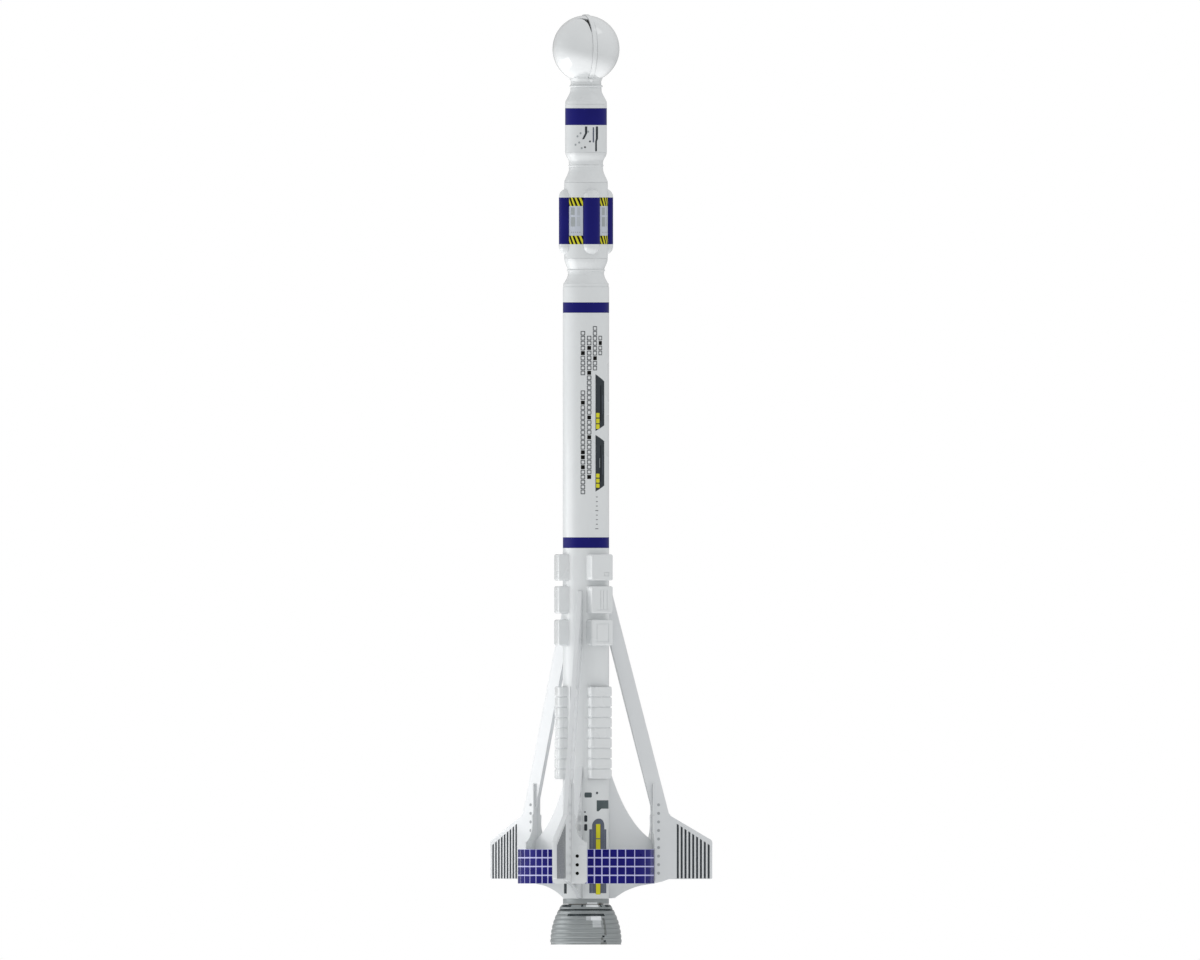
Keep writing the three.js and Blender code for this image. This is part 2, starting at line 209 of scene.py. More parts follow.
def plate(outline, half, rim=0.35):
    """An outline in X and Z, as thick as twice `half` along Y, with rounded rims."""
    bm = loft([[(x, side * half, z) for x, z in outline] for side in (-1, 1)])
    sides = [face for face in bm.faces if len(face.verts) == len(outline)]
    edges = [edge for face in sides for edge in face.edges]
    bmesh.ops.bevel(bm, geom=edges, offset=rim, segments=2, profile=0.5, affect="EDGES", clamp_overlap=True)
    return bm


def sheet(shapes, place, lift=0.03, thickness=0.05, cut=1.0):
    """Thin shapes laid on a surface, and their finishes. A shape is (finish, outline, layer).

    `place` turns (across, up, out) into a point.
    """
    bm = bmesh.new()
    palette = list(dict.fromkeys(shape[0] for shape in shapes))
    for finish, outline, layer in shapes:
        face = bm.faces.new([bm.verts.new((x, y, layer * thickness)) for x, y in outline])
        face.material_index = palette.index(finish)
    bmesh.ops.remove_doubles(bm, verts=bm.verts, dist=1e-4)
    across = [vertex.co.x for vertex in bm.verts]
    line = math.ceil(min(across) / cut + 1e-3) * cut
    while line < max(across) - 1e-3:
        parts = bm.verts[:] + bm.edges[:] + bm.faces[:]
        bmesh.ops.bisect_plane(bm, geom=parts, dist=1e-4, plane_co=(line, 0, 0), plane_no=(1, 0, 0))
        line += cut
    faces = bm.faces[:]
    rims = [edge for edge in bm.edges if edge.is_boundary]
    raised = {v: bm.verts.new(v.co + Vector((0, 0, thickness))) for v in bm.verts[:]}
    for face in faces:
        bm.faces.new([raised[v] for v in face.verts]).material_index = face.material_index
    for edge in rims:
        a, b = edge.verts
        bm.faces.new((a, b, raised[b], raised[a])).material_index = edge.link_faces[0].material_index
    for vertex in bm.verts:
        vertex.co = place(vertex.co.x, vertex.co.y, lift + vertex.co.z)
    return bm, palette


def mesh_of(name, bm):
    """Mesh data made from a bmesh, which it frees."""
    mesh = bpy.data.meshes.new(name)
    bm.to_mesh(mesh)
    bm.free()
    return mesh


def joined(*meshes):
    """One bmesh out of several."""
    whole = bmesh.new()
    for bm in meshes:
        spare = mesh_of("spare", bm)
        whole.from_mesh(spare)
        bpy.data.meshes.remove(spare)
    return whole


def placed(name, data):
    """A new object in the scene."""
    obj = bpy.data.objects.new(name, data)
    bpy.context.scene.collection.objects.link(obj)
    return obj


def carved(bm, *cutters):
    """The mesh with the cutters taken out of it."""
    shapes = []
    for part in (bm, joined(*cutters)):
        bmesh.ops.recalc_face_normals(part, faces=part.faces)
        shapes.append(placed("carving", mesh_of("carving", part)))
    cut = shapes[0].modifiers.new("cut", "BOOLEAN")
    cut.operation = "DIFFERENCE"
    cut.solver = "EXACT"
    cut.object = shapes[1]
    result = bmesh.new()
    result.from_object(shapes[0], bpy.context.evaluated_depsgraph_get())
    for shape in shapes:
        bpy.data.objects.remove(shape)
    return result


def transformed(bm, matrix):
    bmesh.ops.transform(bm, matrix=matrix, verts=bm.verts)
    return bm


def moved(bm, turn=0, shift=(0, 0, 0)):
    """The mesh shifted, then turned about Z by degrees."""
    return transformed(bm, Matrix.Rotation(math.radians(turn), 4, "Z") @ Matrix.Translation(shift))


def block_between(lowest, highest):
    """A box between two corners."""
    (x0, y0, z0), (x1, y1, z1) = lowest, highest
    return loft([[(x0, y0, z), (x1, y0, z), (x1, y1, z), (x0, y1, z)] for z in (z0, z1)])


def piece(name, bm, body, finishes, stands_for=()):
    """A mesh in millimetres made into a named object that rides on a body."""
    bmesh.ops.recalc_face_normals(bm, faces=bm.faces)
    bmesh.ops.scale(bm, vec=(MM, MM, MM), verts=bm.verts)
    mesh = mesh_of(name, bm)
    for finish in finishes:
        mesh.materials.append(finish)
    mesh.shade_smooth()
    mesh.set_sharp_from_angle(angle=CREASE)
    obj = placed(name, mesh)
    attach(obj, body)
    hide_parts(*stands_for)
    return obj


def tint(obj, test, number=1):
    """Gives the numbered material to the faces of a piece whose centre, in millimetres, passes the test."""
    for face in obj.data.polygons:
        if test(face.center / MM):
            face.material_index = number


def from_axis(point):
    return Vector((point.x, point.y)).length


def on_cylinder(radius, facing=FACING):
    """Places a flat sheet round an upright cylinder."""
    def place(across, up, out):
        turn = facing + across / radius
        return ((radius + out) * math.cos(turn), (radius + out) * math.sin(turn), up)
    return place


def on_fin(turn, side):
    """Places a flat sheet on one side of a fin."""
    def place(across, up, out):
        return Matrix.Rotation(math.radians(turn), 4, "Z") @ Vector((across, side * (FIN_HALF + out), up))
    return place


# Materials

def linear(shown):
    """A linear colour from the 0 to 255 values that a screen shows."""
    shares = [value / 255 for value in shown]
    return [share / 12.92 if share < 0.04045 else ((share + 0.055) / 1.055) ** 2.4 for share in shares]


def wired(tree, node, **inputs):
    """The node, with each named input set to a value or linked to an output."""
    for name, value in inputs.items():
        socket = node.inputs[name.replace("_", " ")]
        if isinstance(value, bpy.types.NodeSocket):
            tree.links.new(value, socket)
        else:
            socket.default_value = value
    return node


def added(tree, kind, **inputs):
    """A new shader node with its inputs wired."""
    return wired(tree, tree.nodes.new("ShaderNode" + kind), **inputs)


def maths(tree, operation, *values):
    node = added(tree, "Math")
    node.operation = operation
    for socket, value in zip(node.inputs, values):
        if isinstance(value, (int, float)):
            socket.default_value = value
        else:
            tree.links.new(value, socket)
    return node.outputs[0]


def grain_of(tree, place, scale, detail=4, stretch=(1, 1, 1)):
    """A noise height, its scale in features per metre."""
    mapping = added(tree, "Mapping", Vector=place, Scale=stretch)
    return added(tree, "TexNoise", Vector=mapping.outputs[0], Scale=scale, Detail=detail).outputs["Fac"]


def spread(tree, value, least, most, start=0.3, end=0.7):
    """A value mapped on to a new range."""
    node = added(tree, "MapRange", Value=value, From_Min=start, From_Max=end, To_Min=least, To_Max=most)
    return node.outputs[0]


def raise_by(tree, height, strength, depth, before=None):
    """A bump from a height, on top of an earlier one. Depth is in millimetres."""
    node = added(tree, "Bump", Strength=strength, Distance=depth * MM, Height=height)
    if before is not None:
        wired(tree, node, Normal=before)
    return node.outputs[0]


def ramp_of(tree, value, stops):
    """The colour that a value has between stops of (position, colour)."""
    ramp = added(tree, "ValToRGB", Fac=value)
    elements = ramp.color_ramp.elements
    while len(elements) < len(stops):
        elements.new(0.5)
    for element, (position, shown) in zip(elements, stops):
        element.position = position
        element.color = (*shown, 1)
    return ramp.outputs["Color"]


def material(name, base, shade=0.04, patch=40, gloss=(0.25, 0.35), grain=900, strength=0.15, depth=0.02,
             stretch=(1, 1, 1), pattern=None, **sockets):
    """A finish with soft patches of shade and gloss, a fine grain and, where given, its own pattern."""
    made = bpy.data.materials.new(name)
    made.use_nodes = True
    tree = made.node_tree
    place = added(tree, "TexCoord").outputs["Object"]
    patches = grain_of(tree, place, patch, 3, stretch)
    shades = [(position, [min(1, share * factor) for share in linear(base)])
              for position, factor in ((0.3, 1 - shade), (0.7, 1 + shade))]
    normal = raise_by(tree, grain_of(tree, place, grain, 4, stretch), strength, depth)
    if pattern is not None:
        normal = pattern(tree, place, normal)
    wired(tree, tree.nodes["Principled BSDF"], Base_Color=ramp_of(tree, patches, shades),
          Roughness=spread(tree, patches, *gloss), Normal=normal, **sockets)
    return made


def spiral_seam(tree, place, normal):
    """The faint groove where a paper strip is wound into a tube."""
    pitch = 0.062
    parts = added(tree, "SeparateXYZ", Vector=place)
    turn = maths(tree, "ARCTAN2", parts.outputs["Y"], parts.outputs["X"])
    share = maths(tree, "MULTIPLY", turn, 0.5 / math.pi)
    along = maths(tree, "MULTIPLY_ADD", parts.outputs["Z"], 1 / pitch, share)
    seam = spread(tree, maths(tree, "FRACT", along), 0, 1, 0, 0.01)
    return raise_by(tree, seam, 0.25, 0.03, normal)


def turning_marks(tree, place, normal):
    """Fine rings left on turned metal."""
    rings = grain_of(tree, place, 900, 2, (0.02, 0.02, 1))
    return raise_by(tree, rings, 0.2, 0.03, normal)


def weave(tree, place, normal):
    """Crossing threads of a light cloth."""
    for direction in ("X", "Z"):
        wave = added(tree, "TexWave", Vector=place, Scale=300)
        wave.bands_direction = direction
        normal = raise_by(tree, wave.outputs["Fac"], 0.3, 0.1, normal)
    return normal


def vinyl(name, base, shade=0.08, patch=120, gloss=(0.4, 0.5)):
    """Matt printed film."""
    return material(name, base, shade, patch, gloss, 1200, 0.03, 0.01, Specular_IOR_Level=0.1)


def metal(name, base, shade=0.06, patch=60, gloss=(0.28, 0.36), metallic=0.35):
    """Silver finish with turning marks."""
    return material(name, base, shade, patch, gloss, 1500, 0.15, 0.02, (1, 1, 3), turning_marks,
                    Metallic=metallic)


PAINT = material("white_paint", (220, 223, 224), 0.02, 18, (0.26, 0.34), pattern=spiral_seam,
                 Coat_Weight=0.25, Coat_Roughness=0.12, Coat_IOR=1.5)
CARD_PAINT = material("white_card_paint", (218, 221, 223), 0.02, 22, (0.3, 0.4), 700, 0.2, 0.03,
                      Coat_Weight=1.0, Coat_Roughness=0.12, Coat_IOR=1.8)
MOULDED = material("white_moulding", (222, 225, 226), 0.015, 30, (0.22, 0.3), 500, 0.08, 0.02,
                   Specular_IOR_Level=0.6, Coat_Weight=0.4, Coat_Roughness=0.08, Coat_IOR=1.5)
SPHERE_GLOSS = material("sphere_moulding", (226, 229, 230), 0.01, 30, (0.16, 0.22), 400, 0.05, 0.02,
                        Specular_IOR_Level=0.9, Coat_Weight=1.0, Coat_Roughness=0.05, Coat_IOR=1.9)
BLUE = vinyl("blue_vinyl", (24, 24, 106), 0.08, 60, (0.35, 0.45))
CELL = vinyl("solar_cell", (23, 20, 108), 0.15, 90, (0.25, 0.35))
GRID = vinyl("panel_grid", (196, 196, 236), 0.03, 40)
PANEL = vinyl("lavender_panel", (192, 198, 208), 0.03, 50)
YELLOW = vinyl("yellow_vinyl", (212, 207, 52), 0.06, 80)
BLACK = vinyl("black_vinyl", (18, 18, 16), 0.15, 80)
CHARCOAL = vinyl("charcoal_vinyl", (58, 63, 67), 0.1)
DARK_STREAK = vinyl("dark_streak", (36, 40, 46), 0.15, 200)
TEAL = vinyl("teal_vinyl", (84, 94, 96))
SLATE = vinyl("slate_vinyl", (98, 104, 118), 0.06)
LINE = vinyl("grey_line", (96, 99, 102), 0.08, 200)
PALE_GREY = vinyl("pale_grey_print", (160, 166, 168), 0.05, 200)
FAINT_GREY = vinyl("faint_grey_print", (178, 184, 190), 0.05, 200)
SOFT_GREY = vinyl("soft_grey_print", (148, 153, 154), 0.05, 200)
DOT_GREY = vinyl("fin_dot_print", (164, 168, 170), 0.05, 200)
BROWN = vinyl("brown_edge", (108, 92, 56), 0.08, 200)
METAL = metal("silver_metal", (156, 161, 162), gloss=(0.36, 0.44), metallic=0.5)
# The next four metals are painted light on the nozzle: a painted highlight, a fainter painted highlight, a
# painted dark reflection and painted dark reflection bands.
PAINTED_HIGHLIGHT_METAL = metal("painted_highlight_metal", (236, 239, 241))
PAINTED_SOFT_HIGHLIGHT_METAL = metal("painted_soft_highlight_metal", (198, 202, 204))
PAINTED_DARK_REFLECTION_METAL = metal("painted_dark_reflection_metal", (118, 121, 120), 0.1, 200, (0.3, 0.4))
PAINTED_DARK_BAND_METAL = metal("painted_dark_band_metal", (72, 78, 80), 0.2, 120, (0.2, 0.32), 1.0)
# Near-black finish that stands in for the shade inside the nose seam's gaps.
SHADE_LINER = material("painted_shade_liner", (30, 31, 31), 0.2, 90, (0.5, 0.6), 900, 0.2, 0.05)
KRAFT = material("kraft_paper", (176, 138, 94), 0.12, 70, (0.7, 0.85), 900, 0.5, 0.08, (1, 1, 0.25),
                 spiral_seam)
CARD = material("grey_card", (156, 149, 138), 0.1, 120, (0.75, 0.9), 1400, 0.6, 0.08)
POWDER = material("black_powder", (44, 42, 41), 0.3, 600, (0.85, 0.95), 2000, 0.9, 0.2)
CLAY = material("pale_clay", (201, 188, 166), 0.12, 250, (0.8, 0.95), 1800, 0.6, 0.12)
CLOTH = material("parachute_sheet", (216, 87, 29), 0.08, 50, (0.5, 0.65), 900, 0.3, 0.05, pattern=weave)
TISSUE = material("wadding_tissue", (206, 199, 186), 0.08, 80, (0.8, 0.95), 1200, 0.7, 0.15)


# Plain pieces

def moulding(name, bm, body, *stands_for):
    piece(name, bm, body, [MOULDED], stands_for)


def printed(name, marks, place, body="airframe"):
    """Flat marks in one thin piece."""
    bm, palette = sheet(marks, place)
    piece(name, bm, body, palette)


def striped_tube(name, node, body, stripes):
    """A paper tube with softened ends, blue between the heights of each stripe."""
    radius, bottom, top = upright(node)
    inner = radius - PAPER
    edges = [height for stripe in stripes for height in stripe]
    outside = [(radius, height) for height in sorted((*edges, bottom + 2, top - 2))]
    outline = [(inner, bottom), (radius - 0.15, bottom), (radius, bottom + 0.15), *outside,
               (radius, top - 0.15), (radius - 0.15, top), (inner, top)]
    tube = piece(name, turned(outline), body, [PAINT, BLUE], [node])
    tint(tube, lambda c: from_axis(c) > radius - 0.2 and any(foot < c.z < head for foot, head in stripes))


# Nose

def nose_half(side):
    """Half of the sphere's shell, its lip against the seam band. The left half has a tapered slit."""
    seam = BAND_HALF + (0.1 if side < 0 else 0.3)
    inner = SPHERE - PLASTIC
    outline = []
    for radius, order in ((SPHERE, 1), (inner, -1)):
        start = math.degrees(math.asin(seam / radius))
        outline += arc(0, 0, radius, start, 90, 40)[::order]
    bm = turned([(max(radius, 0), reach) for radius, reach in outline])
    for vertex in bm.verts:
        across, up, reach = vertex.co.y, vertex.co.x, vertex.co.z
        vertex.co = (side * reach, -across, up + SPHERE_CENTRE)
    parts = bm.verts[:] + bm.edges[:] + bm.faces[:]
    cut = bmesh.ops.bisect_plane(bm, geom=parts, plane_co=(0, 0, SPHERE_BOTTOM), plane_no=(0, 0, -1),
                                 clear_outer=True)
    bmesh.ops.edgeloop_fill(bm, edges=[e for e in cut["geom_cut"] if isinstance(e, bmesh.types.BMEdge)])
    return carved(bm, slit_cutter()) if side < 0 else bm


def slit_cutter():
    """A bent wedge that runs along the band and then across the left half, aimed at the sphere's centre."""
    outline = flowing([(-9.4, -5.6), (-5.6, -3.9), (-2.9, -2.0), (-1.2, -1.4)], 4)
    outline += flowing([(-1.2, 12.2), (-1.95, 11.6), (-2.6, 7.4), (-3.6, 2.6), (-5.8, -2.4), (-9.4, -5.5)], 4)
    aim = Matrix.Translation((0, 0, SPHERE_CENTRE)) @ Matrix.Rotation(math.radians(30), 4, "X")
    heights = (SPHERE - 6, SPHERE + 2)
    return transformed(loft([[(x, -forward, z) for x, forward in outline] for z in heights]), aim)


def seam_band():
    """The raised band over the joint, running down in front to a point over the neck."""
    inner = 23.2
    middle, thick, width = (BAND + inner) / 2, BAND - inner, 2 * BAND_HALF
    end = 148
    stations = []
    for step in range(97):
        turn = math.radians(-end + 2 * end * step / 96)
        outward = Vector((0, -math.sin(turn), math.cos(turn)))
        stations.append((Vector((0, 0, SPHERE_CENTRE)) + outward * middle, outward, width, thick))
    for drop, share, out in ((0.7, 1, 13.8), (1.5, 0.9, 13.6), (2.3, 0.5, 13.2), (3.0, 0.1, 12.8)):
        point = Vector((0, -out, SPHERE_BOTTOM + 0.2 - drop))
        stations.append((point, Vector((0, -1, -0.7)).normalized(), width * share, thick * 0.6))
    section = rounded([(-0.5, -0.5), (0.5, -0.5), (0.5, 0.5), (-0.5, 0.5)], 0.16, 3)
    return loft([[point + Vector((across * wide, 0, 0)) + outward * out * deep for across, out in section]
                 for point, outward, wide, deep in stations])


def nose_sphere():
    for side, name in ((1, "right"), (-1, "left")):
        piece(f"nose_half_{name}", nose_half(side), "nose_section", [SPHERE_GLOSS],
              [f"nose_sphere_{name}"])
    piece("seam_band", seam_band(), "nose_section", [SPHERE_GLOSS], ["nose_seam_band"])
    # A dark ring under the seam stands in for shade, so that the slit in the left half and the gaps beside
    # the band read dark.
    liner = turned(rounded(rectangle(21.9, 23.0, -3.8, 3.8), 0.2))
    across = Matrix.Translation((0, 0, SPHERE_CENTRE)) @ Matrix.Rotation(math.pi / 2, 4, "Y")
    piece("seam_liner", transformed(liner, across), "nose_section", [SHADE_LINER])


def ridge(radius, middle, proud=1.1, half=0.9):
    """A small round bead on a turned profile, from the top down."""
    return [(radius + proud * math.cos(t), middle + half * math.sin(t))
            for t in (math.radians(90 - 30 * k) for k in range(7))]


def spigot_in(radius, wall, start, end):
    """The outer side of a spigot glued into a tube, with a chamfer on its end."""
    lead = 0.8 if end > start else -0.8
    return [(radius, start), (radius, end - lead), (radius - 0.4, end), (radius - wall, end)]


def transitions():
    upper_spigot = UPPER - PAPER - 0.3
    middle_spigot = MIDDLE - PAPER - 0.3
    depth = 10

    skirt = flowing([(12.1, SPHERE_BOTTOM - 0.05), (11.6, 629.4), (11.1, 628.2), (11.1, 626.3)], 3)
    skirt += ridge(11.1, 624.7)
    skirt += flowing([(11.3, 623.3), (11.6, 620.4), (13.2, 617), (14.9, 613.8), (UPPER, UPPER_TOP + 0.05)])
    neck = skirt + [(upper_spigot, UPPER_TOP + 0.05)]
    neck += spigot_in(upper_spigot, PLASTIC, UPPER_TOP, UPPER_TOP - depth)[1:]
    neck += [(upper_spigot - PLASTIC, UPPER_TOP), (9.8, 620), (9.8, SPHERE_BOTTOM - 0.3)]
    moulding("neck", turned(neck), "nose_section", "nose_neck")

    upper = spigot_in(upper_spigot, PLASTIC, UPPER_BOTTOM - 0.3, UPPER_BOTTOM + depth)[::-1]
    upper += flowing([(UPPER, UPPER_BOTTOM - 0.05), (14.6, 574.2), (13.0, 571.4), (12.5, 569.9), (12.4, 568)])
    upper += ridge(12.3, 566.9, 0.5, 0.7)
    upper += flowing([(12.4, 565.7), (12.6, 563.2), (13.7, 560), (15.4, 556.4), (MIDDLE, MIDDLE_TOP + 0.05)])
    upper += spigot_in(middle_spigot, PLASTIC, MIDDLE_TOP + 0.3, MIDDLE_TOP - depth)
    upper += [(middle_spigot - PLASTIC, MIDDLE_TOP), (11, 563), (11, 571)]
    upper.append((upper_spigot - PLASTIC, UPPER_BOTTOM))
    moulding("waist_upper", turned(upper), "nose_section", "upper_transition")

    shoulder = TUBE - PAPER - 0.35
    shoulder_bottom = low("lower_transition", "z")
    closed_end = shoulder_bottom + 2 * PLASTIC
    lower = spigot_in(middle_spigot, PLASTIC, MIDDLE_BOTTOM - 0.3, MIDDLE_BOTTOM + depth)[::-1]
    lower += flowing([(MIDDLE, MIDDLE_BOTTOM - 0.05), (15.4, 496.8), (14.1, 493.6), (13.5, 492.1)])
    lower += ridge(13.3, 490.7, 0.6, 0.8)
    lower += flowing([(13.2, 489), (13.2, 487.6), (14.1, 484.8), (15.7, 482)])
    lower += rounded([(15.9, 481.4, 0), (16.5, 481.2), (16.5, TUBE_TOP + 0.05, 0)], 0.3)
    lower += [(shoulder, TUBE_TOP + 0.3), (shoulder, shoulder_bottom + 1), (shoulder - 0.5, shoulder_bottom)]
    lower += [(0, shoulder_bottom), (0, closed_end), (shoulder - PLASTIC, closed_end)]
    lower += [(shoulder - PLASTIC, 481), (12, 486), (12, 493), (middle_spigot - PLASTIC, MIDDLE_BOTTOM)]
    moulding("waist_lower", turned(lower), "nose_section", "lower_transition")

    loop_top = high("nose_eyelet", "z") + 0.3
    wire, bend = 1.2, 3.8
    path = [(-bend, loop_top)] + arc(0, loop_top - 5, bend, 180, 360, 20) + [(bend, loop_top)]
    loops = []
    for k, (x, z) in enumerate(path):
        ahead = Vector(path[min(k + 1, len(path) - 1)]) - Vector(path[max(k - 1, 0)])
        out = Vector((ahead.y, 0, -ahead.x)).normalized()
        loops.append([Vector((x, 0, z)) + wire * (out * math.cos(t) + Vector((0, math.sin(t), 0)))
                      for t in (math.pi * n / 8 for n in range(16))])
    moulding("eyelet", loft(loops), "nose_section", "nose_eyelet")


def upper_tube():
    striped_tube("tube_upper", "upper_tube", "nose_section", [(596.4, 608.7)])

    def slanted(left, right, shifted_left, shifted_right, heights):
        """A bar that runs straight down, then steps sideways."""
        top, knee, bottom = heights
        outline = [(left, top), (left, knee), (shifted_left, bottom), (shifted_right, bottom),
                   (right, knee), (right, top)]
        return [(math.radians(turn) * UPPER, height) for turn, height in outline]

    marks = [
        (CHARCOAL, slanted(-2.8, 3.3, -10.5, -5.2, (595.4, 590.4, 586.1)), 0),
        (CHARCOAL, slanted(28, 35, 26.2, 31.5, (595.4, 586.4, 584.6)), 0),
        (CHARCOAL, slanted(26.2, 31.5, 26.2, 31.5, (584.6, 580, 577.3)), 0),
        (SLATE, slanted(18.8, 22.9, 18.8, 22.9, (594.8, 589, 583.8)), 0),
        (CHARCOAL, disc(math.radians(-2.7) * UPPER, 580.3, 0.7), 0),
        (CHARCOAL, disc(math.radians(11) * UPPER, 584.5, 0.7), 0),
    ]
    for turn, height in ((-24, 588.2), (-19, 583.7), (-15, 590.5), (-12, 579.6), (-30, 582.1), (6, 591.6)):
        marks.append((PALE_GREY, disc(math.radians(turn) * UPPER, height, 0.75), 0))
    printed("upper_tube_marks", marks, on_cylinder(UPPER), "nose_section")


# Middle tube with its pods

WRAP = (509.7, 543.7)


def middle_tube():
    """The tube, and between the pods its light panels with a block of hazard stripes at each end."""
    striped_tube("tube_middle", "middle_tube", "nose_section", [WRAP])
    half = math.radians(21.2) * MIDDLE
    bottom, top = WRAP
    hazard = 6.2
    stripe, lean = 3.4, hazard * math.tan(math.radians(24))
    for number in range(4):
        marks = [(PANEL, rectangle(-half, half, bottom, top), 0)]
        for foot in (bottom, top - hazard):
            marks.append((YELLOW, rectangle(-half, half, foot, foot + hazard), 1))
            for k in range(-1, 5):
                left = -half - 0.6 + stripe * k
                bar = [(left, foot), (left + stripe / 2, foot), (left + stripe / 2 - lean, foot + hazard),
                       (left - lean, foot + hazard)]
                bar = kept_side(kept_side(bar, -half, 1), half, -1)
                if len(bar) > 2:
                    marks.append((BLACK, bar, 2))
        marks += [(PALE_GREY, rectangle(-4.0, -0.6, 531, 536.4), 1),
                  (PALE_GREY, rectangle(-4.0, -0.2, 522.6, 529.4), 1),
                  (FAINT_GREY, rectangle(1.5, 3.6, 530.6, 536.4), 1),
                  (FAINT_GREY, rectangle(1.2, 3.8, 522.8, 529.6), 1)]
        marks += [(SOFT_GREY, disc(-3.6 + 1.8 * k, 518.4, 0.4, 10), 1) for k in range(5)]
        printed(f"middle_panel_{number + 1}", marks, on_cylinder(MIDDLE, math.radians(45 + 90 * number)),
                "nose_section")


def pods():
    """Half capsules, cut to sit on the middle tube."""
    radius = 6.2
    centre = high("pod_1", "x") - radius
    bottom, top = ends("pod_1")
    outline = arc(0, bottom + radius, radius, -90, 0, 14) + [(radius, height) for height in WRAP]
    outline += arc(0, top - radius, radius, 0, 90, 14)
    for number in range(4):
        capsule = moved(turned([(max(r, 0), z) for r, z in outline], 64), 0, (centre, 0, 0))
        seat = turned(rectangle(0, MIDDLE + 0.03, bottom - 5, top + 5))
        pod = piece(f"pod_shell_{number + 1}", moved(carved(capsule, seat), 90 * number), "nose_section",
                    [MOULDED, BLUE], [f"pod_{number + 1}"])
        tint(pod, lambda c: WRAP[0] < c.z < WRAP[1])


# Main tube

def across_tube(degrees):
    return math.radians(degrees) * TUBE


def strip(left, right, bottom, top):
    """A rectangle on the main tube, its sides in degrees from the middle of the facing side."""
    return rectangle(across_tube(left), across_tube(right), bottom, top)


def square_column(turn, first, count, filled):
    """A column of small outlined squares, some of them solid."""
    pitch, size, line, solid = 3.61, 3.3, 0.62, 2.9
    x = across_tube(turn)
    shapes = []
    for k in range(count):
        z = first - pitch * k
        if k in filled:
            shapes.append((BLACK, rectangle(x - solid / 2, x + solid / 2, z - solid / 2, z + solid / 2), 0))
            continue
        rims = []
        for half, ease in ((size / 2, 0.5), (size / 2 - line, 0.25)):
            rims.append(rounded(rectangle(x - half, x + half, z - half, z + half), ease, 2))
        shapes += [(LINE, rim, 0) for rim in bordered(*rims)]
    return shapes


def dark_panel(top_left, bottom_left, top_right, bottom_right, dashes):
    """A dark panel with slanted ends, a darker streak and three stacked yellow dashes."""
    left, right = across_tube(24.2), across_tube(51.8)
    shapes = [
        (CHARCOAL, [(left, bottom_left), (right, bottom_right), (right, top_right), (left, top_left)], 0),
        (DARK_STREAK, strip(37.5, 41, bottom_right + 3, top_right - 3), 1),
        (SLATE, strip(45.5, 46.6, bottom_right + 8, top_right - 10), 1),
    ]
    top, bottom = dashes
    pitch = (top - bottom) / 3
    for k in range(3):
        foot = bottom + pitch * k
        shapes.append((YELLOW, rounded(strip(25.8, 35.4, foot + 0.4, foot + pitch - 0.4), 0.4, 2), 1))
    return shapes


def main_marks():
    marks = square_column(-7.7, 444.9, 9, (4,)) + square_column(-7.7, 401.6, 21, (2, 12, 13, 15))
    marks += square_column(7.9, 441.4, 29, (2, 7, 16, 20, 28))
    marks += square_column(22.9, 448.4, 9, (6,)) + square_column(38.2, 441.4, 4, (1,))
    printed("window_marks", marks, on_cylinder(TUBE))

    panels = dark_panel(415.1, 373.8, 409.9, 377.9, (387.3, 374.9))
    panels += dark_panel(370.9, 329.7, 366.3, 334.1, (343.1, 332.1))
    panels.append((PALE_GREY, strip(35.4, 36.6, 347, 354), 2))
    tick_foot, tick_pitch, tick_height = 302.4, 3.3, 0.5
    x = across_tube(28)
    for k in range(8):
        half = 1.2 if k % 4 == 0 else 0.75
        foot = tick_foot + tick_pitch * k
        panels.append((LINE, rectangle(x - half, x + half, foot, foot + tick_height), 0))
    printed("dark_panels", panels, on_cylinder(TUBE))


def lower_marks():
    """Hatches, lamps and the arched panel near the foot of the main tube."""
    def eased(left, right, bottom, top):
        return rounded(strip(left, right, bottom, top), 0.9, 3)

    notched = [(27.5, 105), (27.5, 97), (33, 97), (41, 98.9), (75.4, 98.9), (75.4, 105)]
    marks = [
        (TEAL, eased(-3.7, 14.5, 107, 110.7), 0),
        (CHARCOAL, disc(across_tube(28.4), 110.3, 0.9), 0),
        (TEAL, [(across_tube(turn), height) for turn, height in notched], 0),
        (CHARCOAL, disc(across_tube(-2.5), 96.5, 0.6), 0),
        (CHARCOAL, eased(-4.5, 3.2, 89.3, 94.1), 0),
        (CHARCOAL, eased(-4.5, 3.2, 82.8, 87.7), 0),
        (SLATE, strip(52.6, 60.8, 37.4, 83.9), 0),
        (SLATE, strip(8.2, 14.8, 37.4, 83.9), 0),
        (BROWN, strip(24.4, 25.6, 36.9, 87.4), 1),
        (BROWN, strip(37.8, 39, 36.9, 87.4), 1),
        (YELLOW, strip(25.6, 37.8, 36.4, 76.6), 1),
        (YELLOW, strip(25.6, 37.8, 77.4, 87.7), 1),
        (CHARCOAL, strip(-71, -56, 37.1, 44.4), 0),
    ]
    left, right = across_tube(15.2), across_tube(52.2)
    middle, half, top = (left + right) / 2, (right - left) / 2, 91.7
    arch = [(left, 37.4), (right, 37.4)] + arc(middle, top - half, half, 0, 180, 20)
    marks.append((SLATE, arch, 0))
    printed("lower_marks", marks, on_cylinder(TUBE))


# Equipment blocks and ribbed housings

FACE = 22.1
BOX_HALF = 9.2
GROOVE_DEPTH = 0.35
COLUMN_ANGLES = (50, 174, 288)


